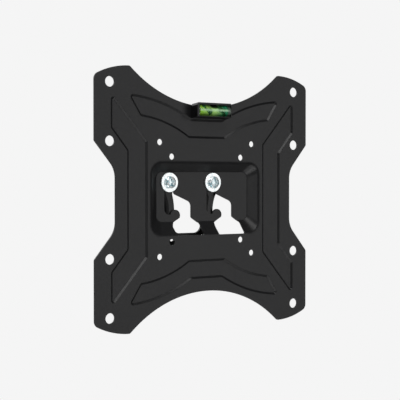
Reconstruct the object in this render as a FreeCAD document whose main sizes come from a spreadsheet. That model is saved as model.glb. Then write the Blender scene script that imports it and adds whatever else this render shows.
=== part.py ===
import FreeCAD, Part
import math
import os

import Sketcher
from FreeCAD import Vector

# Fixed television wall bracket in its own frame, millimetres, +Z up.
# The flat face of the television plate lies at Y = 0 and faces -Y, the wall is on the +Y side,
# and the origin is the centre of the 200 x 200 fixing pattern on that face.

doc = FreeCAD.newDocument("tv_wall_bracket")

# Driving sizes, one spreadsheet cell each
SIZES = {
    # television plate, sheet and outline
    "plate_sheet": 1.5,
    "plate_half_width": 115.0,
    "plate_half_height": 114.5,
    "tab_crest_offset": 80.5,
    "tab_crest_radius": 3.0,
    "tab_shoulder_drop": 9.3,
    "tab_arc_radius": 69.0,
    "tab_shoulder_radius": 6.0,
    "tab_foot_height": 50.0,
    "tab_foot_radius": 2.5,
    "waist_half_width": 94.7,
    "waist_ramp_height": 25.9,
    "waist_radius": 20.0,
    "saddle_depth": 32.2,
    # television fixing holes
    "pattern_large": 200.0,
    "pattern_half": 100.0,
    "pattern_small": 75.0,
    "large_hole_diameter": 9.0,
    "small_hole_diameter": 5.5,
    # pressed stiffening beads
    "bead_depth": 1.1,
    "bead_wall_run": 1.9,
    "bead_corner_radius": 2.6,
    "bead_fold_radius": 0.6,
    "side_bead_outer": 99.0,
    "side_bead_knee": 83.0,
    "side_bead_inner": 62.5,
    "side_bead_drop": 22.7,
    "side_bead_shoulder": 61.0,
    "side_bead_elbow": 42.0,
    "side_bead_turn": 50.0,
    "bow_edge_margin": 11.3,
    "bow_band": 17.0,
    "bow_inner_half_flat": 19.5,
    "bow_outer_half_flat": 16.5,
    "bow_inner_arc_radius": 110.0,
    "bow_outer_arc_radius": 139.0,
    "bow_end_inner_offset": 69.5,
    "bow_end_inner_drop": 42.8,
    "bow_tip_offset": 82.0,
    "bow_tip_drop": 23.7,
    # central pocket of the television plate
    "pocket_depth": 7.0,
    "pocket_mouth_half_width": 58.8,
    "pocket_mouth_top": 32.4,
    "pocket_mouth_bottom": 31.8,
    "pocket_mouth_corner": 10.0,
    "pocket_floor_half_width": 49.7,
    "pocket_floor_top": 24.5,
    "pocket_floor_bottom": 20.0,
    "pocket_floor_corner": 6.0,
    "pocket_rim_radius": 6.0,
    "pocket_fold_radius": 1.6,
    # fixing screws and the bayonet slots that hang on them
    "screw_spacing": 46.8,
    "screw_height": 14.9,
    "screw_axis_offset": -12.9,
    "screw_diameter": 6.0,
    "screw_length": 8.0,
    "screw_head_diameter": 10.6,
    "screw_head_height": 3.3,
    "screw_tip_chamfer": 0.6,
    "screw_head_dome": 14.0,
    "screw_head_radius": 1.0,
    "screw_seat_radius": 0.3,
    "recess_width": 1.7,
    "recess_span": 6.2,
    "recess_depth": 2.4,
    "recess_corner_radius": 0.3,
    "recess_taper": 8.0,
    "slot_spacing": 45.3,
    "slot_side_shift": 0.2,
    "slot_hang_clearance": 0.55,
    "channel_width": 10.0,
    "channel_seat_height": 8.7,
    "slot_shoulder_height": 4.7,
    "slot_shoulder_radius": 3.0,
    "slot_reach": 23.5,
    "slot_ramp_drop": 7.7,
    "slot_reach_radius": 5.5,
    "knob_radius": 5.1,
    "knob_offset": 6.55,
    "knob_height": 14.4,
    "knob_end_angle": 25.0,
    "flare_neck_height": 16.5,
    "flare_side_height": 22.0,
    "flare_left": 1.8,
    "flare_right": 31.9,
    "flare_foot_left": 4.4,
    "flare_foot_right": 33.5,
    "flare_foot_height": 32.1,
    "flare_corner_radius": 2.0,
    # washers and nuts
    "washer_diameter": 17.4,
    "washer_thickness": 1.6,
    "clearance_hole": 6.4,
    "washer_edge_radius": 0.3,
    "nut_width": 10.0,
    "nut_thickness": 4.0,
    "nut_corner_radius": 0.6,
    "thread_clearance": 0.05,
    # wall plate, from its own centre line
    "wall_sheet": 2.0,
    "wall_half_width": 38.0,
    "wall_top": 33.5,
    "wall_bottom": 45.5,
    "wall_corner_radius": 8.0,
    "wall_waist_half_width": 28.0,
    "wall_waist_height": 11.0,
    "wall_waist_reach": 24.0,
    "wall_waist_end_radius": 4.0,
    "wall_tab_half_width": 11.0,
    "wall_tab_top": 46.0,
    "wall_tab_radius": 4.0,
    "land_rise": 4.5,
    "land_wall_run": 1.4,
    "land_fold_radius": 0.8,
    "land_half_width": 35.0,
    "land_top": 28.5,
    "land_corner_radius": 7.0,
    "land_waist_half_width": 24.1,
    "land_foot_height": 27.0,
    "land_foot_radius": 3.05,
    "land_inner_half_width": 17.5,
    "land_inner_turn": 1.0,
    "land_bridge_half_width": 14.5,
    "land_bridge_height": 12.5,
    "window_waist_half_width": 13.9,
    "window_end_half_width": 17.5,
    "window_top": 8.5,
    "window_bottom": 30.6,
    "window_top_radius": 4.0,
    "window_bottom_radius": 7.0,
    "wall_fixing_width": 6.2,
    "wall_slot_length": 12.0,
    "wall_tab_slot_height": 38.5,
    "wall_foot_slot_height": 38.8,
    "wall_hole_diameter": 5.2,
    "wall_hole_spacing": 32.4,
    "wall_hole_height": 35.15,
    # spirit level
    "level_length": 37.7,
    "level_centre": 1.15,
    "level_depth": 10.5,
    "level_above_edge": 2.0,
    "level_height": 12.6,
    "level_front_rise": 1.1,
    "level_edge_radius": 0.4,
    "level_shoulder_height": 2.0,
    "level_shoulder_width": 1.2,
    "level_window_half_height": 5.2,
    "vial_diameter": 10.4,
    "vial_length": 34.2,
    "vial_side_shift": 0.55,
    "vial_clearance": 0.1,
    "vial_axis_depth": 5.8,
    "vial_edge_radius": 0.6,
    "vial_bore": 7.2,
    "vial_end_wall": 1.6,
    "plug_length": 3.0,
    "fill_clearance": 0.02,
    "bubble_length": 9.0,
    "bubble_width": 5.0,
    "bubble_height": 3.1,
    "bubble_rise": 3.0,
    "clip_half_width": 7.0,
    "clip_edge_clearance": 0.15,
    "clip_leg_thickness": 1.2,
    "clip_leg_length": 7.3,
    "clip_root": 1.0,
    "clip_edge_radius": 0.3,
    "clip_grip_clearance": 0.05,
}

sheet = doc.addObject("Spreadsheet::Sheet", "sizes")
for row, (alias, value) in enumerate(SIZES.items(), start=1):
    sheet.set("A%d" % row, alias)
    sheet.set("B%d" % row, str(value))
    sheet.setAlias("B%d" % row, alias)
doc.recompute()


def size(alias):
    """The value that the spreadsheet holds under this name."""
    return float(sheet.get(alias))


# Plane geometry: an outline is a closed row of corners (x, z, corner radius, bend to the next corner).
# A bend of 0 is a straight edge, a positive bend an arc whose centre is on the left of travel,
# and a negative bend an arc whose centre is on the right.

def flat(x, z):
    return Vector(x, z, 0)


def left_of(direction):
    return Vector(-direction.y, direction.x, 0)


def arc_centre(start, end, bend):
    """Centre of the shorter arc of radius |bend| that runs from start to end."""
    chord = end - start
    half = chord.Length / 2
    rise = math.sqrt(max(bend * bend - half * half, 0))
    side = 1 if bend > 0 else -1
    return (start + end) * 0.5 + left_of(chord).normalize() * rise * side


def edge_tangent(start, end, bend, at):
    """Direction of travel on an edge at one of its ends."""
    if bend == 0:
        return (end - start).normalize()
    spoke = at - arc_centre(start, end, bend)
    return left_of(spoke).normalize() * (1 if bend > 0 else -1)


def offset_edge(start, end, bend, shift):
    """The edge moved to its left by shift, as (centre, radius) or (point, direction)."""
    if bend == 0:
        direction = (end - start).normalize()
        return ("line", start + left_of(direction) * shift, direction)
    radius = abs(bend) - shift * (1 if bend > 0 else -1)
    return ("circle", arc_centre(start, end, bend), radius)


def crossings(first, second):
    """Points where two offset edges meet."""
    if first[0] == "line" and second[0] == "line":
        normal = left_of(second[2])
        along = (second[1] - first[1]).dot(normal) / first[2].dot(normal)
        return [first[1] + first[2] * along]
    if first[0] == "circle" and second[0] == "line":
        first, second = second, first
    if first[0] == "line":
        foot = first[1] + first[2] * (second[1] - first[1]).dot(first[2])
        gap = (foot - second[1]).Length
        reach = math.sqrt(max(second[2] ** 2 - gap * gap, 0))
        return [foot + first[2] * reach, foot - first[2] * reach]
    axis = second[1] - first[1]
    apart = axis.Length
    axis.normalize()
    along = (apart * apart + first[2] ** 2 - second[2] ** 2) / (2 * apart)
    rise = math.sqrt(max(first[2] ** 2 - along * along, 0))
    middle = first[1] + axis * along
    return [middle + left_of(axis) * rise, middle - left_of(axis) * rise]


def touch_point(centre, start, end, bend):
    """Where a corner arc of this centre touches the edge."""
    if bend == 0:
        direction = (end - start).normalize()
        return start + direction * (centre - start).dot(direction)
    hub = arc_centre(start, end, bend)
    return hub + (centre - hub).normalize() * abs(bend)


def arc_through(start, middle, end):
    """An arc of a circle that always runs counter-clockwise, as a sketch keeps it."""
    first = middle - start
    second = end - middle
    if first.x * second.y - first.y * second.x < 0:
        start, end = end, start
    return Part.Arc(start, middle, end)


def rounded_outline(corners):
    """Lines and arcs of a closed outline, with every corner rounded to its own radius."""
    count = len(corners)
    points = [flat(corner[0], corner[1]) for corner in corners]
    bends = [corner[3] if len(corner) > 3 else 0 for corner in corners]
    arrivals = []
    departures = []
    pieces_at = []
    for index, corner in enumerate(corners):
        point = points[index]
        before = points[index - 1]
        after = points[(index + 1) % count]
        bend_in = bends[index - 1]
        bend_out = bends[index]
        radius = corner[2]
        tangent_in = edge_tangent(before, point, bend_in, point)
        tangent_out = edge_tangent(point, after, bend_out, point)
        turn = tangent_in.x * tangent_out.y - tangent_in.y * tangent_out.x
        if radius == 0 or abs(turn) < 1e-6:
            arrivals.append(point)
            departures.append(point)
            pieces_at.append(None)
            continue
        shift = radius if turn > 0 else -radius
        options = crossings(
            offset_edge(before, point, bend_in, shift), offset_edge(point, after, bend_out, shift)
        )
        centre = min(options, key=lambda option: (option - point).Length)
        start = touch_point(centre, before, point, bend_in)
        end = touch_point(centre, point, after, bend_out)
        middle = centre + ((start + end) * 0.5 - centre).normalize() * radius
        arrivals.append(start)
        departures.append(end)
        pieces_at.append(arc_through(start, middle, end))
    pieces = []
    for index in range(count):
        if pieces_at[index]:
            pieces.append(pieces_at[index])
        start = departures[index]
        end = arrivals[(index + 1) % count]
        if (end - start).Length < 1e-6:
            continue
        if bends[index] == 0:
            pieces.append(Part.LineSegment(start, end))
        else:
            hub = arc_centre(points[index], points[(index + 1) % count], bends[index])
            spoke = (start + end) * 0.5 - hub
            pieces.append(arc_through(start, hub + spoke.normalize() * abs(bends[index]), end))
    return pieces


def mirrored(corners, closing_bend=0):
    """The same corners across the vertical axis, in the reverse order of travel."""
    result = []
    for index in range(len(corners) - 1, -1, -1):
        corner = corners[index]
        before = corners[index - 1]
        bend = closing_bend if index == 0 else (before[3] if len(before) > 3 else 0)
        result.append((-corner[0], corner[1], corner[2], bend))
    return result


def flipped(corners):
    """The same corners across the horizontal axis, in the reverse order of travel."""
    turned = [(corner[1], corner[0]) + tuple(corner[2:]) for corner in corners]
    return [(corner[1], corner[0]) + tuple(corner[2:]) for corner in mirrored(turned)]


def box_corners(half_width, top, bottom, radius, centre=0):
    """Corners of a rounded rectangle from -bottom to +top."""
    return [
        (centre - half_width, -bottom, radius),
        (centre + half_width, -bottom, radius),
        (centre + half_width, top, radius),
        (centre - half_width, top, radius),
    ]


def long_hole(half_length, half_width, height):
    """A level slot with round ends, centred across."""
    straight = half_length - half_width
    return [
        (-straight, height - half_width, 0, 0),
        (straight, height - half_width, 0, half_width),
        (half_length, height, 0, half_width),
        (straight, height + half_width, 0, 0),
        (-straight, height + half_width, 0, half_width),
        (-half_length, height, 0, half_width),
    ]


def inset_corners(corners, inset):
    """The outline drawn in by this much on every side."""
    result = []
    for index, corner in enumerate(corners):
        before = corners[index - 1]
        after = corners[(index + 1) % len(corners)]
        point = flat(corner[0], corner[1])
        start = flat(before[0], before[1])
        end = flat(after[0], after[1])
        bend_in = before[3] if len(before) > 3 else 0
        bend_out = corner[3] if len(corner) > 3 else 0
        options = crossings(
            offset_edge(start, point, bend_in, inset), offset_edge(point, end, bend_out, inset)
        )
        moved = min(options, key=lambda option: (option - point).Length)
        tangent_in = edge_tangent(start, point, bend_in, point)
        tangent_out = edge_tangent(point, end, bend_out, point)
        turn = tangent_in.x * tangent_out.y - tangent_in.y * tangent_out.x
        radius = corner[2] - inset if turn > 0 else corner[2] + inset
        result.append((moved.x, moved.y, radius, bend_out - inset if bend_out else 0))
    return result


# Document helpers

def new_body(label):
    body = doc.addObject("PartDesign::Body", label)
    body.Label = label
    return body


def origin_plane(body, role):
    return [feature for feature in body.Origin.OriginFeatures if feature.Role == role][0]


def new_sketch(body, name, role="XZ_Plane", lift=None):
    """A sketch on an origin plane. The lift is an expression along +Y for the XZ plane."""
    sketch = body.newObject("Sketcher::SketchObject", name)
    sketch.AttachmentSupport = [(origin_plane(body, role), "")]
    sketch.MapMode = "FlatFace"
    if lift:
        sign = "-" if role == "XZ_Plane" else ""
        sketch.setExpression("AttachmentOffset.Base.z", "%s(%s)" % (sign, lift))
    return sketch


def draw(sketch, corners):
    """Adds a rounded outline and ties its pieces end to end."""
    first = sketch.GeometryCount
    pieces = rounded_outline(corners)
    sketch.addGeometry(pieces, False)
    ends = []
    for piece in sketch.Geometry[first:]:
        ends.append((piece.StartPoint, piece.EndPoint))
    count = len(ends)
    for index in range(count):
        following = (index + 1) % count
        here = ends[index]
        there = ends[following]
        pairs = [(a, b) for a in (0, 1) for b in (0, 1) if (here[a] - there[b]).Length < 1e-4]
        a, b = pairs[0]
        sketch.addConstraint(
            Sketcher.Constraint("Coincident", first + index, a + 1, first + following, b + 1)
        )


def circle(sketch, diameter, x, z):
    """A circle whose diameter and centre follow expressions on the sheet."""
    index = sketch.addGeometry(Part.Circle(flat(1, 1), Vector(0, 0, 1), 1), False)
    for kind, expression in (("Diameter", diameter), ("DistanceX", x), ("DistanceY", z)):
        if kind == "Diameter":
            number = sketch.addConstraint(Sketcher.Constraint(kind, index, 2.0))
        else:
            number = sketch.addConstraint(Sketcher.Constraint(kind, -1, 1, index, 3, 1.0))
        sketch.setExpression("Constraints[%d]" % number, expression)


def pad(body, name, sketch, length, towards_wall=True, taper=None):
    feature = body.newObject("PartDesign::Pad", name)
    feature.Profile = sketch
    feature.setExpression("Length", length)
    feature.Reversed = towards_wall
    if taper:
        feature.setExpression("TaperAngle", taper)
    sketch.Visibility = False
    doc.recompute()
    return feature


def pocket(body, name, sketch, length=None, towards_wall=True, taper=None):
    feature = body.newObject("PartDesign::Pocket", name)
    feature.Profile = sketch
    if length:
        feature.setExpression("Length", length)
    else:
        feature.Type = "ThroughAll"
    feature.Reversed = not towards_wall
    if taper:
        feature.setExpression("TaperAngle", taper)
    sketch.Visibility = False
    doc.recompute()
    return feature


def loft(body, name, kind, first, second):
    """A straight-sided loft between two sketches that have the same number of pieces."""
    feature = body.newObject("PartDesign::" + kind, name)
    feature.Profile = first
    feature.Sections = [second]
    feature.Ruled = True
    first.Visibility = False
    second.Visibility = False
    doc.recompute()
    return feature


def fillet(body, name, edges, radius):
    base = body.Tip
    feature = body.newObject("PartDesign::Fillet", name)
    feature.Base = (base, edges)
    feature.setExpression("Radius", radius)
    doc.recompute()
    return feature


def mirror(body, name, originals, role):
    feature = body.newObject("PartDesign::Mirrored", name)
    feature.Originals = originals
    feature.MirrorPlane = (origin_plane(body, role), [""])
    body.Tip = feature
    doc.recompute()
    return feature


def middle_of(edge):
    point = edge.valueAt((edge.FirstParameter + edge.LastParameter) / 2)
    return (round(point.x, 3), round(point.y, 3), round(point.z, 3))


def edges_at_depth(body, depth, known):
    """Names of the edges that lie at one depth and were not there before."""
    names = []
    for index, edge in enumerate(body.Tip.Shape.Edges, start=1):
        off = max(abs(point.y - depth) for point in edge.discretize(4))
        if off < 1e-4 and middle_of(edge) not in known:
            names.append("Edge%d" % index)
    return names


def round_folds(body, label, depths, known, radius):
    """Rounds the folds that lie at each of these depths."""
    for number, depth in enumerate(depths, start=1):
        fillet(body, "%s_%d" % (label, number), edges_at_depth(body, depth, known), radius)


def edge_middles(body):
    return {middle_of(edge) for edge in body.Tip.Shape.Edges}


# Television plate: pressed sheet steel

def plate_outline():
    crest = size("tab_crest_offset")
    height = size("plate_half_height")
    width = size("plate_half_width")
    sag = size("saddle_depth")
    saddle_radius = (crest * crest + sag * sag) / (2 * sag)
    upper = [
        (size("waist_half_width"), size("waist_ramp_height"), size("waist_radius")),
        (width, size("tab_foot_height"), size("tab_foot_radius")),
        (width, height - size("tab_shoulder_drop"), size("tab_shoulder_radius"), size("tab_arc_radius")),
        (crest, height, size("tab_crest_radius"), -saddle_radius),
    ]
    right = flipped(upper)
    right = right + upper
    return right + mirrored(right, -saddle_radius)


def side_bead():
    outer = size("side_bead_outer")
    knee = size("side_bead_knee")
    inner = size("side_bead_inner")
    radius = size("bead_corner_radius")
    upper = [
        (knee, size("side_bead_elbow"), radius),
        (outer, size("side_bead_shoulder"), radius),
        (outer, size("plate_half_height") - size("side_bead_drop"), radius),
        (inner, size("side_bead_turn"), radius),
    ]
    return flipped(upper) + upper


def bow_bead():
    radius = size("bead_corner_radius")
    top = size("plate_half_height")
    outer = top - size("saddle_depth") - size("bow_edge_margin")
    inner = outer - size("bow_band")
    right = [
        (size("bow_inner_half_flat"), inner, radius, -size("bow_inner_arc_radius")),
        (size("bow_end_inner_offset"), top - size("bow_end_inner_drop"), radius, 0),
        (size("bow_tip_offset"), top - size("bow_tip_drop"), radius, size("bow_outer_arc_radius")),
        (size("bow_outer_half_flat"), outer, radius, 0),
    ]
    return right + mirrored(right)


def slot_outline(axis):
    """Bayonet slot: flared entry below, neck beside the safety knob, channel up to the screw."""
    half = size("channel_width") / 2
    top = size("screw_height") + size("screw_diameter") / 2 + size("slot_hang_clearance")
    seat = -size("channel_seat_height")
    knob = flat(axis + size("knob_offset"), -size("knob_height"))
    knob_radius = size("knob_radius")
    notch = max(
        crossings(("circle", flat(axis, seat), half), ("circle", knob, knob_radius)),
        key=lambda point: -point.y,
    )
    angle = math.radians(size("knob_end_angle"))
    knob_end = knob + flat(math.cos(angle), -math.sin(angle)) * knob_radius
    knob_top = knob + flat(0, knob_radius)
    reach = axis + size("slot_reach")
    shoulder = size("slot_shoulder_height")
    corner = size("flare_corner_radius")
    return [
        (axis - half, top - half, 0, 0),
        (axis - half, seat, 0, half),
        (axis, seat - half, 0, half),
        (notch.x, notch.y, 0, -knob_radius),
        (knob_top.x, knob_top.y, 0, -knob_radius),
        (knob_end.x, knob_end.y, corner / 2, 0),
        (axis + size("flare_left"), -size("flare_side_height"), corner / 2, 0),
        (axis + size("flare_foot_left"), -size("flare_foot_height"), corner / 2, 0),
        (axis + size("flare_foot_right"), -size("flare_foot_height"), corner / 2, 0),
        (axis + size("flare_right"), -size("flare_side_height"), corner, 0),
        (reach, -size("flare_neck_height"), corner, 0),
        (reach, shoulder - size("slot_ramp_drop"), size("slot_reach_radius"), 0),
        (axis + half, shoulder, size("slot_shoulder_radius"), 0),
        (axis + half, top - half, 0, half),
        (axis, top, 0, half),
    ]


SLOT_AXIS = size("screw_axis_offset") - size("screw_spacing") / 2 + size("slot_side_shift")
tv_plate = new_body("tv_plate")
plate_sketch = new_sketch(tv_plate, "plate_outline")
draw(plate_sketch, plate_outline())
pad(tv_plate, "plate_blank", plate_sketch, "sizes.plate_sheet")

plain_edges = edge_middles(tv_plate)
bead_taper = "-atan(sizes.bead_wall_run / sizes.bead_depth)"
for label, corners, role in (("side_bead", side_bead(), "YZ_Plane"), ("bow_bead", bow_bead(), "XY_Plane")):
    rear = new_sketch(tv_plate, label + "_rear_outline", lift="sizes.plate_sheet")
    draw(rear, corners)
    raised = pad(tv_plate, label + "_rear", rear, "sizes.bead_depth", taper=bead_taper)
    front = new_sketch(tv_plate, label + "_front_outline")
    draw(front, corners)
    sunk = pocket(tv_plate, label + "_front", front, "sizes.bead_depth", taper=bead_taper)
    mirror(tv_plate, label + "_pair", [raised, sunk], role)
sheet_depth = size("plate_sheet")
bead_depth = size("bead_depth")
bead_levels = (0, bead_depth, sheet_depth, sheet_depth + bead_depth)
round_folds(tv_plate, "bead_fold", bead_levels, plain_edges, "sizes.bead_fold_radius")

plain_edges = edge_middles(tv_plate)
mouth = box_corners(
    size("pocket_mouth_half_width"), size("pocket_mouth_top"), size("pocket_mouth_bottom"),
    size("pocket_mouth_corner"),
)
floor = box_corners(
    size("pocket_floor_half_width"), size("pocket_floor_top"), size("pocket_floor_bottom"),
    size("pocket_floor_corner"),
)
for label, kind, base in (
    ("pocket_rear", "AdditiveLoft", "sizes.plate_sheet"),
    ("pocket_front", "SubtractiveLoft", "0 * sizes.plate_sheet"),
):
    mouth_sketch = new_sketch(tv_plate, label + "_mouth", lift=base)
    draw(mouth_sketch, mouth)
    floor_sketch = new_sketch(tv_plate, label + "_floor", lift=base + " + sizes.pocket_depth")
    draw(floor_sketch, floor)
    loft(tv_plate, label, kind, mouth_sketch, floor_sketch)
pocket_depth = size("pocket_depth")
pocket_floor_levels = (pocket_depth, sheet_depth + pocket_depth)
round_folds(tv_plate, "pocket_fold", pocket_floor_levels, plain_edges, "sizes.pocket_fold_radius")
round_folds(tv_plate, "pocket_rim", (0, sheet_depth), plain_edges, "sizes.pocket_rim_radius")

slot_sketch = new_sketch(tv_plate, "bayonet_slot_outline")
draw(slot_sketch, slot_outline(SLOT_AXIS))
slot_cut = pocket(tv_plate, "bayonet_slot", slot_sketch)
slot_pair = tv_plate.newObject("PartDesign::LinearPattern", "bayonet_slot_pair")
slot_pair.Originals = [slot_cut]
slot_pair.Direction = (origin_plane(tv_plate, "X_Axis"), [""])
slot_pair.Occurrences = 2
slot_pair.setExpression("Length", "sizes.slot_spacing")
tv_plate.Tip = slot_pair
doc.recompute()

hole_sketch = new_sketch(tv_plate, "fixing_holes")
for x_sign in ("", "-"):
    for z_sign in ("", "-"):
        for diameter, across, up in (
            ("sizes.large_hole_diameter", "sizes.pattern_large", "sizes.pattern_large"),
            ("sizes.large_hole_diameter", "sizes.pattern_large", "sizes.pattern_half"),
            ("sizes.small_hole_diameter", "sizes.pattern_half", "sizes.pattern_half"),
            ("sizes.small_hole_diameter", "sizes.pattern_small", "sizes.pattern_small"),
        ):
            circle(hole_sketch, diameter, "%s%s / 2" % (x_sign, across), "%s%s / 2" % (z_sign, up))
pocket(tv_plate, "fixing_hole_cut", hole_sketch)


# Wall plate: pressed sheet steel. Its raised land backs the pocket floor and holds the screws.
# Its own origin is on the land's face, midway between the screws across and at the bracket's height.

def waist():
    """Height of the waist, its reach up and down, its arcs' radius and how far out their centres are."""
    reach = size("wall_waist_reach")
    sag = size("wall_half_width") - size("wall_waist_half_width")
    radius = (reach * reach + sag * sag) / (2 * sag)
    return -size("wall_waist_height"), reach, radius, size("wall_waist_half_width") + radius


def wall_outline():
    half = size("wall_half_width")
    corner = size("wall_corner_radius")
    height, reach, radius = waist()[:3]
    right = [
        (half, -size("wall_bottom"), corner),
        (half, height - reach, size("wall_waist_end_radius"), -radius),
        (half, height + reach, size("wall_waist_end_radius")),
        (half, size("wall_top"), corner),
        (size("wall_tab_half_width"), size("wall_top"), size("wall_tab_radius")),
        (size("wall_tab_half_width"), size("wall_tab_top"), size("wall_tab_radius")),
    ]
    return right + mirrored(right)


def land_outline():
    """The foot of the raised land: an arch over the window whose legs follow the waist."""
    height, hub = waist()[0], waist()[3]
    outer = hub - size("land_waist_half_width")
    inner = hub - size("land_inner_half_width")
    corner = size("land_foot_radius")
    half = size("land_half_width")

    def on_arc(arc_radius, z):
        return hub - math.sqrt(arc_radius * arc_radius - (z - height) ** 2)

    foot = -size("land_foot_height")
    turn = size("land_inner_turn")
    shoulder = height + math.sqrt(outer * outer - (hub - half) ** 2)
    right = [
        (size("land_bridge_half_width"), size("land_bridge_height"), corner),
        (on_arc(inner, turn), turn, corner, inner),
        (on_arc(inner, foot), foot, corner),
        (on_arc(outer, foot), foot, corner, -outer),
        (half, shoulder, corner),
        (half, size("land_top"), size("land_corner_radius")),
    ]
    return right + mirrored(right)


def window_outline():
    bottom = -size("window_bottom")
    top = size("window_top")
    end = size("window_end_half_width")
    sag = end - size("window_waist_half_width")
    reach = (top - bottom) / 2
    bend = (reach * reach + sag * sag) / (2 * sag)
    right = [
        (end, bottom, size("window_bottom_radius"), -bend),
        (end, top, size("window_top_radius")),
    ]
    return right + mirrored(right)


wall_plate = new_body("wall_plate")
wall_plate.setExpression("Placement.Base.x", "sizes.screw_axis_offset")
wall_plate.setExpression("Placement.Base.y", "sizes.plate_sheet + sizes.pocket_depth")
wall_sketch = new_sketch(wall_plate, "wall_outline", lift="sizes.land_rise")
draw(wall_sketch, wall_outline())
pad(wall_plate, "wall_blank", wall_sketch, "sizes.wall_sheet")

plain_edges = edge_middles(wall_plate)
run = size("land_wall_run")
slope = math.atan2(run, size("land_rise"))
wall_inset = size("wall_sheet") * (1 / math.cos(slope) - math.tan(slope))
for label, kind, face, inset in (
    ("land_front", "AdditiveLoft", "0 * sizes.land_rise", 0),
    ("land_rear", "SubtractiveLoft", "sizes.wall_sheet", wall_inset),
):
    foot_sketch = new_sketch(wall_plate, label + "_foot", lift=face + " + sizes.land_rise")
    draw(foot_sketch, inset_corners(land_outline(), inset))
    face_sketch = new_sketch(wall_plate, label + "_face", lift=face)
    draw(face_sketch, inset_corners(land_outline(), inset + run))
    loft(wall_plate, label, kind, foot_sketch, face_sketch)
land_levels = (0, size("land_rise"), size("land_rise") + size("wall_sheet"))
round_folds(wall_plate, "land_fold", land_levels, plain_edges, "sizes.land_fold_radius")

opening_sketch = new_sketch(wall_plate, "window_and_fixing_holes")
draw(opening_sketch, window_outline())
fixing_half = size("wall_fixing_width") / 2
slot_half = size("wall_slot_length") / 2
for height in (size("wall_tab_slot_height"), -size("wall_foot_slot_height")):
    draw(opening_sketch, long_hole(slot_half, fixing_half, height))
for x_sign in ("", "-"):
    circle(
        opening_sketch, "sizes.wall_hole_diameter", x_sign + "sizes.wall_hole_spacing / 2",
        "-sizes.wall_hole_height",
    )
    circle(
        opening_sketch, "sizes.clearance_hole", x_sign + "sizes.screw_spacing / 2",
        "sizes.screw_height",
    )
pocket(wall_plate, "window_and_fixing_hole_cut", opening_sketch)


# Fixing screws with pan head and cross recess, their washers and weld nuts

def cross_outline():
    arm = size("recess_span") / 2
    half = size("recess_width") / 2
    corner = size("recess_corner_radius")
    right = [
        (half, -arm, corner),
        (half, -half, 0),
        (arm, -half, corner),
        (arm, half, corner),
        (half, half, 0),
        (half, arm, corner),
    ]
    return right + mirrored(right)


def screw_profile():
    """Half of the screw from its axis, across and along, with the underside of the head at 0."""
    head = size("screw_head_diameter") / 2
    dome = size("screw_head_dome")
    crown = dome - math.sqrt(dome * dome - head * head)
    shank = size("screw_diameter") / 2
    chamfer = size("screw_tip_chamfer")
    return [
        (0, -size("screw_head_height"), 0, dome),
        (head, crown - size("screw_head_height"), size("screw_head_radius")),
        (head, 0, size("screw_seat_radius")),
        (shank, 0, 0),
        (shank, size("screw_length") - chamfer, 0),
        (shank - chamfer, size("screw_length"), 0),
        (0, size("screw_length"), 0),
    ]


def place_on_screw_axis(body, side, depth):
    body.setExpression("Placement.Base.x", "sizes.screw_axis_offset %s sizes.screw_spacing / 2" % side)
    body.setExpression("Placement.Base.y", depth)
    body.setExpression("Placement.Base.z", "sizes.screw_height")


floor_face = "sizes.pocket_depth"
land_rear_face = "sizes.plate_sheet + sizes.pocket_depth + sizes.wall_sheet"
for name, side in (("left", "-"), ("right", "+")):
    screw = new_body("screw_" + name)
    place_on_screw_axis(screw, side, floor_face + " - sizes.washer_thickness")
    profile = new_sketch(screw, "screw_profile", role="XY_Plane")
    draw(profile, screw_profile())
    turned = screw.newObject("PartDesign::Revolution", "screw_turned")
    turned.Profile = profile
    turned.ReferenceAxis = (profile, ["V_Axis"])
    turned.Angle = 360
    profile.Visibility = False
    doc.recompute()
    recess = new_sketch(screw, "cross_recess_outline", lift="-sizes.screw_head_height")
    draw(recess, cross_outline())
    pocket(screw, "cross_recess", recess, "sizes.recess_depth", taper="-1 deg * sizes.recess_taper")

    washer = new_body("washer_" + name)
    place_on_screw_axis(washer, side, floor_face + " - sizes.washer_thickness")
    ring = new_sketch(washer, "washer_outline")
    circle(ring, "sizes.washer_diameter", "0 * sizes.washer_diameter", "0 * sizes.washer_diameter")
    circle(ring, "sizes.clearance_hole", "0 * sizes.washer_diameter", "0 * sizes.washer_diameter")
    pad(washer, "washer_blank", ring, "sizes.washer_thickness")
    rims = edges_at_depth(washer, 0, set()) + edges_at_depth(washer, size("washer_thickness"), set())
    fillet(washer, "washer_edges", rims, "sizes.washer_edge_radius")

    nut = new_body("weld_nut_" + name)
    place_on_screw_axis(nut, side, land_rear_face)
    hexagon = new_sketch(nut, "nut_outline")
    reach = size("nut_width") / math.sqrt(3)
    turns = [math.radians(60 * step) for step in range(6)]
    corner = size("nut_corner_radius")
    draw(hexagon, [(reach * math.cos(turn), reach * math.sin(turn), corner) for turn in turns])
    circle(
        hexagon, "sizes.screw_diameter + 2 * sizes.thread_clearance", "0 * sizes.nut_width",
        "0 * sizes.nut_width",
    )
    pad(nut, "nut_blank", hexagon, "sizes.nut_thickness")


# Spirit level: a moulded housing clipped over the plate's upper edge, with a clear acrylic vial

def along_level(feature, length):
    feature.Midplane = True
    feature.setExpression("Length", length)
    doc.recompute()


def level_top():
    """Top of the housing at its rear, above the lowest point of the plate's upper edge."""
    return size("plate_half_height") - size("saddle_depth") + size("level_above_edge")


def level_block():
    """Side view of the housing, depth and height: the front stands a little higher."""
    depth = size("level_depth")
    rise = size("level_front_rise")
    top = level_top()
    bottom = top - size("level_height")
    return [
        (-depth, bottom + rise, 0),
        (0, bottom, 0),
        (0, top, 0),
        (-depth, top + rise, 0),
    ]


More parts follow.
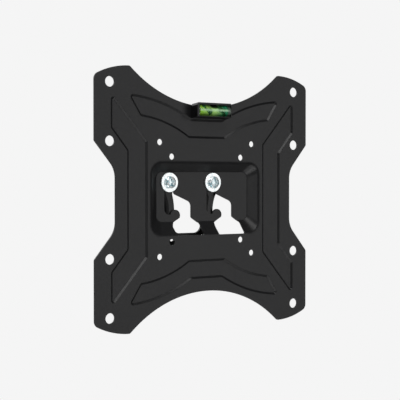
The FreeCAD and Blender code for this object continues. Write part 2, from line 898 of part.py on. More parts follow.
def clip_profile():
    """Hook in side view: across the plate's edge and down behind it."""
    half = size("clip_half_width") + size("level_centre")
    top = level_top()
    lowest = top - size("level_above_edge")
    edge = lowest + half * half * size("saddle_depth") / size("tab_crest_offset") ** 2
    seat = edge + size("clip_edge_clearance")
    foot = top - size("clip_leg_length")
    leg = size("plate_sheet") + size("clip_grip_clearance")
    back = leg + size("clip_leg_thickness")
    corner = size("clip_edge_radius")
    return [
        (-size("clip_root"), seat, 0),
        (leg, seat, 0),
        (leg, foot, corner),
        (back, foot, corner),
        (back, top, corner),
        (-size("clip_root"), top, 0),
    ]


vial_height = (
    "sizes.plate_half_height - sizes.saddle_depth + sizes.level_above_edge - sizes.level_height / 2"
    " + sizes.level_front_rise * sizes.vial_axis_depth / sizes.level_depth"
)
vial_middle = "sizes.level_centre + sizes.vial_side_shift"
vial_start = vial_middle + " - sizes.vial_length / 2"
axis_z = level_top() - size("level_height") / 2
axis_z = axis_z + size("level_front_rise") * size("vial_axis_depth") / size("level_depth")

housing = new_body("level_housing")
block_sketch = new_sketch(housing, "housing_profile", role="YZ_Plane", lift="sizes.level_centre")
draw(block_sketch, level_block())
along_level(pad(housing, "housing_block", block_sketch, "sizes.level_length", False), "sizes.level_length")
block_end = size("level_length") / 2
shoulder_edges = []
for index, edge in enumerate(housing.Tip.Shape.Edges, start=1):
    across, _, height = middle_of(edge)
    if abs(across - size("level_centre")) > block_end - 0.01 and height > level_top():
        shoulder_edges.append("Edge%d" % index)
block = housing.Tip
shoulders = housing.newObject("PartDesign::Chamfer", "housing_shoulders")
shoulders.Base = (block, shoulder_edges)
shoulders.ChamferType = "Two distances"
shoulders.setExpression("Size", "sizes.level_shoulder_width")
shoulders.setExpression("Size2", "sizes.level_shoulder_height")
doc.recompute()
every_edge = ["Edge%d" % number for number in range(1, len(housing.Tip.Shape.Edges) + 1)]
fillet(housing, "housing_edges", every_edge, "sizes.level_edge_radius")
cradle_length = "sizes.vial_length + 2 * sizes.vial_clearance"
bore_sketch = new_sketch(housing, "vial_seat_circle", role="YZ_Plane", lift=vial_middle)
circle(
    bore_sketch, "sizes.vial_diameter + 2 * sizes.vial_clearance", "-sizes.vial_axis_depth", vial_height
)
along_level(pocket(housing, "vial_seat", bore_sketch, cradle_length), cradle_length)
window_sketch = new_sketch(housing, "housing_window", role="YZ_Plane", lift=vial_middle)
window_half = size("level_window_half_height")
draw(window_sketch, [
    (-size("level_depth") - window_half, axis_z - window_half, 0),
    (-size("vial_axis_depth"), axis_z - window_half, 0),
    (-size("vial_axis_depth"), axis_z + window_half, 0),
    (-size("level_depth") - window_half, axis_z + window_half, 0),
])
along_level(pocket(housing, "housing_window_cut", window_sketch, cradle_length), cradle_length)
clip_sketch = new_sketch(housing, "clip_profile", role="YZ_Plane", lift="sizes.level_centre")
draw(clip_sketch, clip_profile())
clip_length = "2 * sizes.clip_half_width"
along_level(pad(housing, "clip", clip_sketch, clip_length, False), clip_length)


def place_on_vial_axis(body, start):
    body.setExpression("Placement.Base.x", start)
    body.setExpression("Placement.Base.y", "-sizes.vial_axis_depth")
    body.setExpression("Placement.Base.z", vial_height)


def round_bar(body, name, diameter, length):
    """A round bar from the body's origin along +X."""
    end = new_sketch(body, name + "_end", role="YZ_Plane")
    circle(end, diameter, "0 * " + diameter, "0 * " + diameter)
    return pad(body, name, end, length, towards_wall=False)


tube = new_body("vial_tube")
place_on_vial_axis(tube, vial_start)
round_bar(tube, "tube_blank", "sizes.vial_diameter", "sizes.vial_length")
fillet(tube, "tube_ends", ["Edge1", "Edge3"], "sizes.vial_edge_radius")
bore = new_sketch(tube, "tube_bore_circle", role="YZ_Plane", lift="sizes.vial_end_wall")
circle(bore, "sizes.vial_bore", "0 * sizes.vial_bore", "0 * sizes.vial_bore")
pocket(tube, "tube_bore", bore, "sizes.vial_length", towards_wall=False)

fill_diameter = "(sizes.vial_bore - 2 * sizes.fill_clearance)"
plug = new_body("vial_plug")
place_on_vial_axis(plug, vial_start + " + sizes.vial_length - sizes.plug_length")
round_bar(plug, "plug_bar", fill_diameter, "sizes.plug_length")

fluid = new_body("vial_fluid")
place_on_vial_axis(fluid, vial_start + " + sizes.vial_end_wall + sizes.fill_clearance")
fluid_length = "(sizes.vial_length - sizes.vial_end_wall - sizes.plug_length - 2 * sizes.fill_clearance)"
round_bar(fluid, "fluid_column", fill_diameter, fluid_length)
bubble = fluid.newObject("PartDesign::SubtractiveEllipsoid", "bubble")
bubble.AttachmentSupport = [(origin_plane(fluid, "XY_Plane"), "")]
bubble.MapMode = "FlatFace"
bubble.setExpression("Radius1", "sizes.bubble_height / 2")
bubble.setExpression("Radius2", "sizes.bubble_length / 2")
bubble.setExpression("Radius3", "sizes.bubble_width / 2")
bubble.setExpression("AttachmentOffset.Base.x", "sizes.vial_length / 2 - sizes.vial_end_wall")
bubble.setExpression("AttachmentOffset.Base.z", "sizes.bubble_rise")
doc.recompute()


# Every shape is checked before the first file is written
bodies = [item for item in doc.Objects if item.TypeId == "PartDesign::Body"]
for item in doc.Objects:
    if "Invalid" in item.State or "Error" in item.State:
        raise RuntimeError("%s: %s" % (item.Label, item.State))
for body in bodies:
    if body.Shape.isNull() or not body.Shape.isValid() or len(body.Shape.Solids) != 1:
        raise RuntimeError(body.Label + ": not one valid solid")

os.makedirs("parts", exist_ok=True)
for body in bodies:
    body.Shape.exportStep("parts/%s.step" % body.Label)
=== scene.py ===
import math

import bmesh
import bpy
from mathutils import Matrix, Vector


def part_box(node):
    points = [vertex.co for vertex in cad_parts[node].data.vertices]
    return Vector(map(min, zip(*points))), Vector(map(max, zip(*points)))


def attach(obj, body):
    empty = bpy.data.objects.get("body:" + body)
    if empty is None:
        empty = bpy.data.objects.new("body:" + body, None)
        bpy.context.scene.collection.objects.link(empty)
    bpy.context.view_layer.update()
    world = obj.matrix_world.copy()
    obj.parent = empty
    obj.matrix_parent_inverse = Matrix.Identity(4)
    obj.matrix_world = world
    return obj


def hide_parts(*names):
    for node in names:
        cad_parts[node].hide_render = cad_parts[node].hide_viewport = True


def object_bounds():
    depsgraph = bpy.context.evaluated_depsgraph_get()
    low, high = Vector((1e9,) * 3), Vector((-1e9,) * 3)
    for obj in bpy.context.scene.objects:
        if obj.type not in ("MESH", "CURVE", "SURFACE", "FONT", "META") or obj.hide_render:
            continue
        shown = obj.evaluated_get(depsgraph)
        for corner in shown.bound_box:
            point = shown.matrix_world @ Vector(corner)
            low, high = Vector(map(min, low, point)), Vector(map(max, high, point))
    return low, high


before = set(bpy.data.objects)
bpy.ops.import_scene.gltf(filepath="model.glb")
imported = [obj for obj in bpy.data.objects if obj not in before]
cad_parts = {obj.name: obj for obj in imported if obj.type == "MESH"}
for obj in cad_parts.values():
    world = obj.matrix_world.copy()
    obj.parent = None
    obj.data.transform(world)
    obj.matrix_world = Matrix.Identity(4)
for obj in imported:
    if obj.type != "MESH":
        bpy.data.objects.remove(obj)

# Fixed television wall bracket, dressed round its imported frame. Metres, +Z up, the television side faces -Y.

cad_low, cad_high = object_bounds()
MM = 0.001

# Camera of the photograph, as a place, a target and a focal length in its own pixels
CAMERA_PLACE = Vector((-551.9, -786.9, 16.76)) * MM
CAMERA_TARGET = Vector((-7.81, 0.0, -0.82)) * MM
PHOTO_PIXELS = 400
FOCAL_PIXELS = 1073.4
SENSOR_WIDTH = 36.0

# Studio: how far the floor lies under the bracket, half its width, and the colour of floor and backdrop
FLOOR_DROP = 500 * MM
FLOOR_HALF = 60.0
BACKDROP = "#F5F5F5"


def linear(hex_colour):
    """An sRGB hex colour as linear RGBA."""
    channels = [int(hex_colour[start:start + 2], 16) / 255 for start in (1, 3, 5)]
    curve = [c / 12.92 if c <= 0.04045 else ((c + 0.055) / 1.055) ** 2.4 for c in channels]
    return (*curve, 1.0)


def node(tree, kind, inputs=None, **settings):
    """Adds a node with its settings, and fills or links its inputs."""
    made = tree.nodes.new(kind)
    for name, value in settings.items():
        setattr(made, name, value)
    for socket, value in (inputs or {}).items():
        if isinstance(value, bpy.types.NodeSocket):
            tree.links.new(value, made.inputs[socket])
        else:
            made.inputs[socket].default_value = value
    return made


def new_tree(name):
    """A material with an empty node tree, and that tree."""
    material = bpy.data.materials.new(name)
    material.use_nodes = True
    material.node_tree.nodes.clear()
    return material, material.node_tree


def per_metre(size_mm):
    """Noise scale whose features are about this many millimetres wide."""
    return 1 / (size_mm * MM)


# Sockets of the Mix node for colours, whose names repeat
MIX_FIRST, MIX_SECOND, MIX_RESULT = 6, 7, 2

# Nearly all values of a noise lie between these
NOISE_LOW, NOISE_HIGH = 0.3, 0.7

# Powder coat and ABS both bend light about this much
RESIN_IOR = 1.5

# Powder coat on pressed steel, sprayed and baked: satin black, an orange peel in its gloss and a fine grit
COAT_BLACK = "#0D0D0E"
COAT_FADED = "#141415"
COAT_SHEEN = 0.28
COAT_SMOOTH, COAT_ROUGH = 0.30, 0.38
COAT_CLOUD = 45.0
COAT_PEEL = 1.7
COAT_GRIT = 0.45
COAT_PEEL_HEIGHT = 0.012 * MM
COAT_GRIT_HEIGHT = 0.004 * MM


def powder_coat():
    material, tree = new_tree("powder_coated_steel")
    place = node(tree, "ShaderNodeTexCoord").outputs["Object"]
    cloud = node(tree, "ShaderNodeTexNoise", {"Vector": place, "Scale": per_metre(COAT_CLOUD), "Detail": 4.0})
    peel = node(tree, "ShaderNodeTexNoise", {"Vector": place, "Scale": per_metre(COAT_PEEL), "Detail": 2.0})
    grit = node(tree, "ShaderNodeTexNoise", {"Vector": place, "Scale": per_metre(COAT_GRIT), "Detail": 1.0})
    colour = node(
        tree, "ShaderNodeMix",
        {"Factor": cloud.outputs["Fac"], MIX_FIRST: linear(COAT_BLACK), MIX_SECOND: linear(COAT_FADED)},
        data_type="RGBA",
    )
    gloss = node(
        tree, "ShaderNodeMapRange",
        {"Value": peel.outputs["Fac"], "From Min": NOISE_LOW, "From Max": NOISE_HIGH,
         "To Min": COAT_SMOOTH, "To Max": COAT_ROUGH},
    )
    rough = node(
        tree, "ShaderNodeBump",
        {"Strength": 1.0, "Distance": COAT_GRIT_HEIGHT, "Height": grit.outputs["Fac"]},
    )
    wavy = node(
        tree, "ShaderNodeBump",
        {"Strength": 1.0, "Distance": COAT_PEEL_HEIGHT, "Height": peel.outputs["Fac"],
         "Normal": rough.outputs["Normal"]},
    )
    shader = node(tree, "ShaderNodeBsdfPrincipled", {
        "Base Color": colour.outputs[MIX_RESULT],
        "Roughness": gloss.outputs["Result"],
        "Normal": wavy.outputs["Normal"],
        "IOR": RESIN_IOR,
        "Specular IOR Level": COAT_SHEEN,
    })
    node(tree, "ShaderNodeOutputMaterial", {"Surface": shader.outputs["BSDF"]})
    return material


# Zinc plating on turned and stamped steel: silvery white and a little milky, with faint rings from the tool
# and cloudy spots. Washers and nuts are bright, and the screws have the colder blue of their passivation.
ZINC_BRIGHT = "#F1F3F3"
ZINC_CLOUDY = "#DCE3E4"
ZINC_COLD = "#EDF4F5"
ZINC_BLUE = "#86B4C0"
ZINC_SPOT_LOW, ZINC_SPOT_HIGH = 0.50, 0.60
ZINC_SMOOTH, ZINC_ROUGH = 0.26, 0.36
# Plated steel reflects part of its light from the milky film on it
ZINC_METAL = 0.75
ZINC_CLOUD = 2.2
# The real rings are about 0.1 mm apart; these are as wide as a pixel of the picture
ZINC_RING = 0.8
# The wave texture's phase grows by this much for one unit of its scale
WAVE_TURN = 20.0


def zinc_plate(name, bright, dull, axis):
    material, tree = new_tree(name)
    place = node(tree, "ShaderNodeTexCoord").outputs["Object"]
    centred = node(tree, "ShaderNodeMapping", {"Vector": place, "Location": (-axis.x, 0.0, -axis.z)})
    rings = node(
        tree, "ShaderNodeTexWave",
        {"Vector": centred.outputs["Vector"], "Scale": math.tau * per_metre(ZINC_RING) / WAVE_TURN,
         "Distortion": 1.0, "Detail": 1.0, "Detail Scale": 2.0},
        wave_type="RINGS", rings_direction="Y",
    )
    cloud = node(tree, "ShaderNodeTexNoise", {"Vector": place, "Scale": per_metre(ZINC_CLOUD), "Detail": 3.0})
    spots = node(
        tree, "ShaderNodeMapRange",
        {"Value": cloud.outputs["Fac"], "From Min": ZINC_SPOT_LOW, "From Max": ZINC_SPOT_HIGH,
         "To Min": 0.0, "To Max": 1.0},
    )
    colour = node(
        tree, "ShaderNodeMix",
        {"Factor": spots.outputs["Result"], MIX_FIRST: linear(bright), MIX_SECOND: linear(dull)},
        data_type="RGBA",
    )
    gloss = node(
        tree, "ShaderNodeMapRange",
        {"Value": rings.outputs["Fac"], "From Min": 0.0, "From Max": 1.0,
         "To Min": ZINC_SMOOTH, "To Max": ZINC_ROUGH},
    )
    shader = node(tree, "ShaderNodeBsdfPrincipled", {
        "Base Color": colour.outputs[MIX_RESULT],
        "Roughness": gloss.outputs["Result"],
        "Metallic": ZINC_METAL,
    })
    node(tree, "ShaderNodeOutputMaterial", {"Surface": shader.outputs["BSDF"]})
    return material


# Injection-moulded ABS: deep black with a fine spark-eroded grain that keeps it from shining like glass
ABS_BLACK = "#0B0B0C"
ABS_WORN = "#151516"
ABS_SHEEN = 0.3
ABS_ROUGH = 0.33
ABS_GRAIN = 0.3
ABS_CLOUD = 8.0
ABS_GRAIN_HEIGHT = 0.004 * MM


def moulded_abs():
    material, tree = new_tree("moulded_black_abs")
    place = node(tree, "ShaderNodeTexCoord").outputs["Object"]
    grain = node(tree, "ShaderNodeTexNoise", {"Vector": place, "Scale": per_metre(ABS_GRAIN), "Detail": 2.0})
    cloud = node(tree, "ShaderNodeTexNoise", {"Vector": place, "Scale": per_metre(ABS_CLOUD), "Detail": 2.0})
    colour = node(
        tree, "ShaderNodeMix",
        {"Factor": cloud.outputs["Fac"], MIX_FIRST: linear(ABS_BLACK), MIX_SECOND: linear(ABS_WORN)},
        data_type="RGBA",
    )
    relief = node(
        tree, "ShaderNodeBump",
        {"Strength": 1.0, "Distance": ABS_GRAIN_HEIGHT, "Height": grain.outputs["Fac"]},
    )
    shader = node(tree, "ShaderNodeBsdfPrincipled", {
        "Base Color": colour.outputs[MIX_RESULT],
        "Roughness": ABS_ROUGH,
        "Normal": relief.outputs["Normal"],
        "IOR": RESIN_IOR,
        "Specular IOR Level": ABS_SHEEN,
    })
    node(tree, "ShaderNodeOutputMaterial", {"Surface": shader.outputs["BSDF"]})
    return material


# Cast acrylic vial, polished: nearly clear, with a faint haze in its gloss
ACRYLIC_CLEAR = "#F4FBF5"
ACRYLIC_IOR = 1.49
ACRYLIC_SMOOTH, ACRYLIC_ROUGH = 0.05, 0.12
ACRYLIC_HAZE = 3.0
# Two things that bend light alike have no surface between them that could be seen
MATCHED_IOR = 1.0


def cast_acrylic():
    material, tree = new_tree("polished_cast_acrylic")
    place = node(tree, "ShaderNodeTexCoord").outputs["Object"]
    haze = node(
        tree, "ShaderNodeTexNoise", {"Vector": place, "Scale": per_metre(ACRYLIC_HAZE), "Detail": 2.0},
    )
    gloss = node(
        tree, "ShaderNodeMapRange",
        {"Value": haze.outputs["Fac"], "From Min": NOISE_LOW, "From Max": NOISE_HIGH,
         "To Min": ACRYLIC_SMOOTH, "To Max": ACRYLIC_ROUGH},
    )
    shader = node(tree, "ShaderNodeBsdfPrincipled", {
        "Base Color": linear(ACRYLIC_CLEAR),
        "Roughness": gloss.outputs["Result"],
        "IOR": ACRYLIC_IOR,
        "Transmission Weight": 1.0,
    })
    node(tree, "ShaderNodeOutputMaterial", {"Surface": shader.outputs["BSDF"]})
    return material


# The same acrylic where the spirit wets it, invisible, as the two bend light alike
def wetted_acrylic():
    material, tree = new_tree("wetted_acrylic_bore")
    shader = node(tree, "ShaderNodeBsdfPrincipled", {
        "Base Color": linear("#FFFFFF"),
        "Roughness": 0.0,
        "IOR": MATCHED_IOR,
        "Transmission Weight": 1.0,
    })
    node(tree, "ShaderNodeOutputMaterial", {"Surface": shader.outputs["BSDF"]})
    return material


# Dyed mineral spirit, its colour painted light and shade over a yellow-green dye: lime where light is
# painted gathering in it, palest in the middle and a painted darker teal towards the plug. A pale streak of
# painted reflection runs along it, and swirls of deep green are painted shade standing for the black housing
# that shows through it. In front of the bubble it is painted nearly black, as the thin film there hardly
# colours what lies behind.
DYE_LIME = "#8AB83C"
DYE_PAINTED_PALE = "#A4CA76"
DYE_PAINTED_TEAL = "#24805A"
DYE_PAINTED_HOUSING_SHADE = "#1C5029"
PAINTED_STREAK_REFLECTION = "#B4D6AC"
PAINTED_BUBBLE_SHADE = "#0A1C0C"
# The painted shade in front of the bubble fades out between these multiples of the bubble's own size
PAINTED_BUBBLE_SHADE_FULL, PAINTED_BUBBLE_SHADE_END = 0.75, 1.05
# Shares of the column, from its left end, where its painted light and shade is lime, where it is palest and
# where it has turned a darker painted teal
SPIRIT_LIME, SPIRIT_PAINTED_PALEST, SPIRIT_PAINTED_TEAL = 0.05, 0.55, 0.85
# Size of the painted swirls of shade, and the noise values between which they come in
SPIRIT_PAINTED_SWIRL = 5.0
SPIRIT_PAINTED_SWIRL_LOW, SPIRIT_PAINTED_SWIRL_HIGH = 0.52, 0.58
# The painted reflection streak's height over the column's axis, and how far it fades out above and below
SPIRIT_PAINTED_STREAK_HEIGHT = 0.5 * MM
SPIRIT_PAINTED_STREAK_FADE = 1.1 * MM
SPIRIT_PAINTED_STREAK_GLOW = 0.85
SPIRIT_ROUGH = 0.05
SPIRIT_CLEAR = 0.45


def dyed_spirit_with_painted_light(start, length, axis_z, bubble, bubble_half):
    material, tree = new_tree("dyed_green_spirit_painted_light")
    place = node(tree, "ShaderNodeTexCoord").outputs["Object"]
    parts = node(tree, "ShaderNodeSeparateXYZ", {"Vector": place})
    along = node(
        tree, "ShaderNodeMapRange",
        {"Value": parts.outputs["X"], "From Min": start, "From Max": start + length,
         "To Min": 0.0, "To Max": 1.0},
    )
    # Painted light and shade along the column: lime, then palest, then a darker teal
    painted_light_along = node(tree, "ShaderNodeValToRGB", {"Fac": along.outputs["Result"]})
    elements = painted_light_along.color_ramp.elements
    elements.remove(elements[0])
    elements[0].position, elements[0].color = SPIRIT_LIME, linear(DYE_LIME)
    elements.new(SPIRIT_PAINTED_PALEST).color = linear(DYE_PAINTED_PALE)
    elements.new(SPIRIT_PAINTED_TEAL).color = linear(DYE_PAINTED_TEAL)
    # Painted shade: swirls of deep green that stand for the black housing seen through the spirit
    painted_swirl = node(
        tree, "ShaderNodeTexNoise", {"Vector": place, "Scale": per_metre(SPIRIT_PAINTED_SWIRL), "Detail": 1.0},
    )
    painted_swirl_shade = node(
        tree, "ShaderNodeMapRange",
        {"Value": painted_swirl.outputs["Fac"], "From Min": SPIRIT_PAINTED_SWIRL_LOW, "From Max": SPIRIT_PAINTED_SWIRL_HIGH,
         "To Min": 0.0, "To Max": 1.0},
    )
    dye_and_painted_light = node(
        tree, "ShaderNodeMix",
        {"Factor": painted_swirl_shade.outputs["Result"], MIX_FIRST: painted_light_along.outputs["Color"], MIX_SECOND: linear(DYE_PAINTED_HOUSING_SHADE)},
        data_type="RGBA",
    )
    # Painted reflection: a pale streak of reflected light along the column
    off_streak = node(
        tree, "ShaderNodeMath", {0: parts.outputs["Z"], 1: axis_z + SPIRIT_PAINTED_STREAK_HEIGHT},
        operation="SUBTRACT",
    )
    distance = node(tree, "ShaderNodeMath", {0: off_streak.outputs["Value"]}, operation="ABSOLUTE")
    streak = node(
        tree, "ShaderNodeMapRange",
        {"Value": distance.outputs["Value"], "From Min": 0.0, "From Max": SPIRIT_PAINTED_STREAK_FADE,
         "To Min": SPIRIT_PAINTED_STREAK_GLOW, "To Max": 0.0},
    )
    colour = node(
        tree, "ShaderNodeMix",
        {"Factor": streak.outputs["Result"], MIX_FIRST: dye_and_painted_light.outputs[MIX_RESULT],
         MIX_SECOND: linear(PAINTED_STREAK_REFLECTION)},
        data_type="RGBA",
    )
    # Painted shade: nearly black on the spirit in front of the bubble
    off_bubble = node(
        tree, "ShaderNodeVectorMath", {0: place, 1: bubble}, operation="SUBTRACT",
    )
    sizes_off = node(
        tree, "ShaderNodeVectorMath",
        {0: off_bubble.outputs["Vector"], 1: (1 / bubble_half.x, 0.0, 1 / bubble_half.z)},
        operation="MULTIPLY",
    )
    bubbles_off = node(tree, "ShaderNodeVectorMath", {0: sizes_off.outputs["Vector"]}, operation="LENGTH")
    bubble_shade_mask = node(
        tree, "ShaderNodeMapRange",
        {"Value": bubbles_off.outputs["Value"], "From Min": PAINTED_BUBBLE_SHADE_FULL, "From Max": PAINTED_BUBBLE_SHADE_END,
         "To Min": 1.0, "To Max": 0.0},
    )
    shaded = node(
        tree, "ShaderNodeMix",
        {"Factor": bubble_shade_mask.outputs["Result"], MIX_FIRST: colour.outputs[MIX_RESULT],
         MIX_SECOND: linear(PAINTED_BUBBLE_SHADE)},
        data_type="RGBA",
    )
    shader = node(tree, "ShaderNodeBsdfPrincipled", {
        "Base Color": shaded.outputs[MIX_RESULT],
        "Roughness": SPIRIT_ROUGH,
        "IOR": MATCHED_IOR,
        "Transmission Weight": SPIRIT_CLEAR,
    })
    node(tree, "ShaderNodeOutputMaterial", {"Surface": shader.outputs["BSDF"]})
    return material


# The skin of the air bubble in the spirit, its colour a painted reflection: nearly black where it stands for
# the dark housing mirrored in it, with a painted pale crescent at its foot
BUBBLE_PAINTED_GLEAM = "#8FA688"
BUBBLE_PAINTED_DARK = "#071408"
BUBBLE_ROUGH = 0.15
BUBBLE_IOR = 1.45
BUBBLE_CLEAR = 0.2
# Height of the bubble's foot over the column's axis
BUBBLE_FOOT = 1.5 * MM
BUBBLE_PAINTED_CRESCENT = 0.7 * MM


def bubble_skin(axis_z):
    material, tree = new_tree("air_bubble_painted_reflection")
    place = node(tree, "ShaderNodeTexCoord").outputs["Object"]
    height = node(tree, "ShaderNodeSeparateXYZ", {"Vector": place}).outputs["Z"]
    foot = axis_z + BUBBLE_FOOT
    # Painted reflection: a pale crescent at the foot, nearly black above it
    rise = node(
        tree, "ShaderNodeMapRange",
        {"Value": height, "From Min": foot, "From Max": foot + BUBBLE_PAINTED_CRESCENT, "To Min": 0.0, "To Max": 1.0},
    )
    colour = node(
        tree, "ShaderNodeMix",
        {"Factor": rise.outputs["Result"], MIX_FIRST: linear(BUBBLE_PAINTED_GLEAM), MIX_SECOND: linear(BUBBLE_PAINTED_DARK)},
        data_type="RGBA",
    )
    shader = node(tree, "ShaderNodeBsdfPrincipled", {
        "Base Color": colour.outputs[MIX_RESULT],
        "Roughness": BUBBLE_ROUGH,
        "IOR": BUBBLE_IOR,
        "Transmission Weight": BUBBLE_CLEAR,
    })
    node(tree, "ShaderNodeOutputMaterial", {"Surface": shader.outputs["BSDF"]})
    return material


# Moulded polyethylene plug, milky and waxy, painted a dim grey-green for the shade it lies in, with a darker
# painted shadow where it touches the spirit
PLUG_MILK_PAINTED_DIM = "#3C473E"
PLUG_PAINTED_SHADOW = "#0C2213"
PLUG_PAINTED_SHADOW_LENGTH = 1.6 * MM
PLUG_CLOUD = 2.0
PLUG_ROUGH = 0.4


def milky_polyethylene_painted_shade(start):
    material, tree = new_tree("milky_polyethylene_painted_shade")
    place = node(tree, "ShaderNodeTexCoord").outputs["Object"]
    along = node(tree, "ShaderNodeSeparateXYZ", {"Vector": place}).outputs["X"]
    cloud = node(tree, "ShaderNodeTexNoise", {"Vector": place, "Scale": per_metre(PLUG_CLOUD), "Detail": 2.0})
    # Painted shadow: reaches out from the spirit with a ragged edge
    painted_shadow_reach = node(
        tree, "ShaderNodeMath",
        {0: cloud.outputs["Fac"], 1: PLUG_PAINTED_SHADOW_LENGTH / 2, 2: along},
        operation="MULTIPLY_ADD",
    )
    past_painted_shadow = node(
        tree, "ShaderNodeMapRange",
        {"Value": painted_shadow_reach.outputs["Value"], "From Min": start, "From Max": start + PLUG_PAINTED_SHADOW_LENGTH,
         "To Min": 0.0, "To Max": 1.0},
    )
    colour = node(
        tree, "ShaderNodeMix",
        {"Factor": past_painted_shadow.outputs["Result"], MIX_FIRST: linear(PLUG_PAINTED_SHADOW), MIX_SECOND: linear(PLUG_MILK_PAINTED_DIM)},
        data_type="RGBA",
    )
    shader = node(tree, "ShaderNodeBsdfPrincipled", {
        "Base Color": colour.outputs[MIX_RESULT],
        "Roughness": PLUG_ROUGH,
    })
    node(tree, "ShaderNodeOutputMaterial", {"Surface": shader.outputs["BSDF"]})
    return material


def finish_node(names, material):
    """Gives CAD nodes their material."""
    for name in names:
        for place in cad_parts[name].material_slots:
            place.material = material


def middle(name):
    """The middle of a CAD node's box."""
    low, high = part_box(name)
    return (low + high) / 2


finish_node(("tv_plate", "wall_plate"), powder_coat())
for side in ("left", "right"):
    axis = middle("screw_" + side)
    finish_node(("screw_" + side,), zinc_plate("blue_zinc_" + side, ZINC_COLD, ZINC_BLUE, axis))
    finish_node(
        ("washer_" + side, "weld_nut_" + side),
        zinc_plate("bright_zinc_" + side, ZINC_BRIGHT, ZINC_CLOUDY, axis),
    )
finish_node(("level_housing",), moulded_abs())
spirit_low, spirit_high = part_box("vial_fluid")
plug_low, plug_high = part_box("vial_plug")
finish_node(("vial_plug",), milky_polyethylene_painted_shade(plug_low.x))


def add_piece(name, shape, materials):
    """Turns a finished bmesh into a piece of the object."""
    data = bpy.data.meshes.new(name)
    shape.to_mesh(data)
    shape.free()
    for material in materials:
        data.materials.append(material)
    piece = bpy.data.objects.new(name, data)
    bpy.context.scene.collection.objects.link(piece)
    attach(piece, "root")
    return piece


def turned(profile, hub):
    """A closed shape turned about the line along X through hub. The profile holds (along X, radius) pairs."""
    shape = bmesh.new()
    points = [shape.verts.new((along, hub.y, hub.z + radius)) for along, radius in profile]
    lines = [shape.edges.new(pair) for pair in zip(points, points[1:])]
    bmesh.ops.spin(
        shape, geom=points + lines, cent=hub, axis=(1, 0, 0), angle=math.tau, steps=VIAL_STEPS,
        use_merge=True,
    )
    bmesh.ops.remove_doubles(shape, verts=shape.verts, dist=0.0001 * MM)
    bmesh.ops.recalc_face_normals(shape, faces=shape.faces)
    return shape


def soften(shape, sharpest):
    """Shades the shape smooth, but for edges that turn by more than this many degrees."""
    for face in shape.faces:
        face.smooth = True
    for edge in shape.edges:
        edge.smooth = edge.calc_face_angle(0.0) < math.radians(sharpest)


# The vial: a turned cup of acrylic whose bore the spirit wets, closed by the plug
VIAL_STEPS = 96
VIAL_SHARPEST = 40.0
TUBE_EDGE = 0.6 * MM
TUBE_EDGE_STEPS = 4
BORE_GAP = 0.02 * MM


def vial_tube(hub):
    low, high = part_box("vial_tube")
    radius = high.z - hub.z
    bore = plug_high.z - hub.z + BORE_GAP
    bottom = spirit_low.x - BORE_GAP
    turns = [math.radians(90 * step / TUBE_EDGE_STEPS) for step in range(TUBE_EDGE_STEPS + 1)]
    rounded = [
        (TUBE_EDGE * (1 - math.sin(turn)), radius - TUBE_EDGE * (1 - math.cos(turn))) for turn in turns
    ]
    left = [(low.x + inward, out) for inward, out in reversed(rounded)]
    right = [(high.x - inward, out) for inward, out in rounded]
    shape = turned([(low.x, 0.0), *left, *right, (high.x, bore), (bottom, bore), (bottom, 0.0)], hub)
    for face in shape.faces:
        spot = face.calc_center_median()
        within = low.x + BORE_GAP < spot.x < high.x - BORE_GAP
        face.material_index = int(within and math.hypot(spot.y - hub.y, spot.z - hub.z) < bore)
    soften(shape, VIAL_SHARPEST)
    tube = add_piece("vial_acrylic", shape, [cast_acrylic(), wetted_acrylic()])
    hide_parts("vial_tube")
    tube.visible_shadow = False


# The bubble lies against the top of the bore, under a thin film of spirit
BUBBLE_LENGTH = 9.0 * MM
BUBBLE_WIDTH = 5.0 * MM
BUBBLE_HEIGHT = 3.1 * MM
BUBBLE_RISE = 3.0 * MM
BUBBLE_MERIDIANS, BUBBLE_RINGS = 32, 20
SPIRIT_FILM = 0.03 * MM


def vial_spirit(hub):
    radius = spirit_high.z - hub.z
    shape = turned(
        [(spirit_low.x, 0.0), (spirit_low.x, radius), (spirit_high.x, radius), (spirit_high.x, 0.0)], hub,
    )
    soften(shape, VIAL_SHARPEST)
    centre = Vector(((vial_low.x + vial_high.x) / 2, hub.y, hub.z + BUBBLE_RISE))
    stretched = Matrix.Diagonal((BUBBLE_LENGTH, BUBBLE_WIDTH, BUBBLE_HEIGHT, 1.0))
    shell = bmesh.ops.create_uvsphere(
        shape, u_segments=BUBBLE_MERIDIANS, v_segments=BUBBLE_RINGS, radius=0.5,
        matrix=Matrix.Translation(centre) @ stretched,
    )["verts"]
    for vertex in shell:
        out = Vector((0.0, vertex.co.y - hub.y, vertex.co.z - hub.z))
        if out.length > radius - SPIRIT_FILM:
            vertex.co -= out * (1 - (radius - SPIRIT_FILM) / out.length)
    skin = {face for vertex in shell for face in vertex.link_faces}
    bmesh.ops.reverse_faces(shape, faces=list(skin))
    for face in skin:
        face.smooth = True
        face.material_index = 1
    dye_and_painted_light = dyed_spirit_with_painted_light(
        spirit_low.x, spirit_high.x - spirit_low.x, hub.z, centre,
        Vector((BUBBLE_LENGTH, BUBBLE_WIDTH, BUBBLE_HEIGHT)) / 2,
    )
    spirit = add_piece("vial_spirit", shape, [dye_and_painted_light, bubble_skin(hub.z)])
    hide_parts("vial_fluid")
    spirit.visible_shadow = False


vial_low, vial_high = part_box("vial_tube")
vial_hub = (plug_low + plug_high) / 2
vial_tube(vial_hub)
vial_spirit(vial_hub)


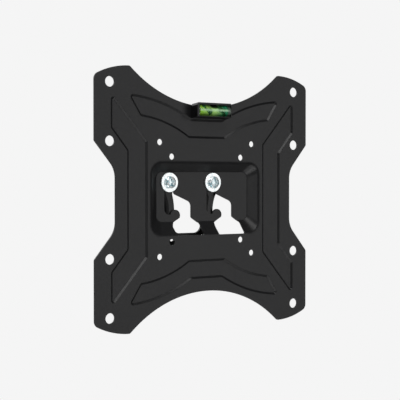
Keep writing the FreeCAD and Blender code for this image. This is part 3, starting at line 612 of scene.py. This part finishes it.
# A pale floor far below, as bright as the backdrop, so that only the bracket shows
def floor():
    mesh = bmesh.new()
    bmesh.ops.create_grid(mesh, x_segments=1, y_segments=1, size=FLOOR_HALF)
    bmesh.ops.translate(mesh, verts=mesh.verts, vec=(0, 0, cad_low.z - FLOOR_DROP))
    data = bpy.data.meshes.new("floor")
    mesh.to_mesh(data)
    mesh.free()
    made = bpy.data.objects.new("floor", data)
    bpy.context.scene.collection.objects.link(made)
    material, tree = new_tree("pale_floor")
    shader = node(tree, "ShaderNodeEmission", {"Color": linear(BACKDROP)})
    node(tree, "ShaderNodeOutputMaterial", {"Surface": shader.outputs["Emission"]})
    data.materials.append(material)
    made.visible_diffuse = made.visible_glossy = made.visible_transmission = made.visible_shadow = False


floor()

# The room is bright behind the bracket and dim in front of it, so that the black coat keeps its depth. It
# turns from one to the other between these directions' Y.
ROOM_AHEAD = 0.10
ROOM_BEHIND = 0.50
ROOM_TURN_START, ROOM_TURN_END = -0.1, 0.3


def room():
    world = bpy.data.worlds.new("studio")
    world.use_nodes = True
    tree = world.node_tree
    tree.nodes.clear()
    seen = node(tree, "ShaderNodeLightPath").outputs["Is Camera Ray"]
    direction = node(tree, "ShaderNodeTexCoord").outputs["Generated"]
    towards_wall = node(tree, "ShaderNodeSeparateXYZ", {"Vector": direction}).outputs["Y"]
    glow = node(
        tree, "ShaderNodeMapRange",
        {"Value": towards_wall, "From Min": ROOM_TURN_START, "From Max": ROOM_TURN_END,
         "To Min": ROOM_AHEAD, "To Max": ROOM_BEHIND},
    )
    light = node(
        tree, "ShaderNodeBackground", {"Color": linear("#FFFFFF"), "Strength": glow.outputs["Result"]},
    )
    backdrop = node(tree, "ShaderNodeBackground", {"Color": linear(BACKDROP), "Strength": 1.0})
    both = node(
        tree, "ShaderNodeMixShader",
        {0: seen, 1: light.outputs["Background"], 2: backdrop.outputs["Background"]},
    )
    node(tree, "ShaderNodeOutputWorld", {"Surface": both.outputs["Shader"]})
    bpy.context.scene.world = world


room()


def soft_sun(name, azimuth, elevation, glow, spread):
    """A round, even light, spread degrees wide, of this glow. It comes from azimuth degrees to the right of
    straight ahead of the plate, and elevation degrees above level."""
    light = bpy.data.lights.new(name, "SUN")
    light.angle = math.radians(spread)
    light.energy = glow * math.pi * math.sin(light.angle / 2) ** 2
    lamp = bpy.data.objects.new(name, light)
    turn, rise = math.radians(azimuth), math.radians(elevation)
    source = Vector((math.sin(turn) * math.cos(rise), -math.cos(turn) * math.cos(rise), math.sin(rise)))
    lamp.rotation_euler = source.to_track_quat("Z", "Y").to_euler()
    bpy.context.scene.collection.objects.link(lamp)


# Softboxes round the camera: the side one gives the flat plate its tone, and the others draw the beads and
# the pocket's corners
soft_sun("side_softbox", 29, 0, 1.50, 40)
soft_sun("left_softbox", -45, 0, 1.6, 30)
soft_sun("upper_softbox", -13, 42, 5.0, 34)
soft_sun("lower_softbox", -20, -49, 5.0, 28)
soft_sun("top_softbox", 0, 70, 3.0, 34)
soft_sun("under_softbox", 30, -70, 2.0, 34)
# A weak one on the wall side, so that the back can be read as well
soft_sun("back_softbox", 200, 25, 1.2, 40)

camera_data = bpy.data.cameras.new("camera")
camera_data.sensor_fit = "HORIZONTAL"
camera_data.sensor_width = SENSOR_WIDTH
camera_data.lens = FOCAL_PIXELS * SENSOR_WIDTH / PHOTO_PIXELS
camera = bpy.data.objects.new("camera", camera_data)
camera.location = CAMERA_PLACE
camera.rotation_euler = (CAMERA_TARGET - CAMERA_PLACE).to_track_quat("-Z", "Y").to_euler()
bpy.context.scene.collection.objects.link(camera)
bpy.context.scene.camera = camera
bpy.context.scene.view_settings.view_transform = "Standard"
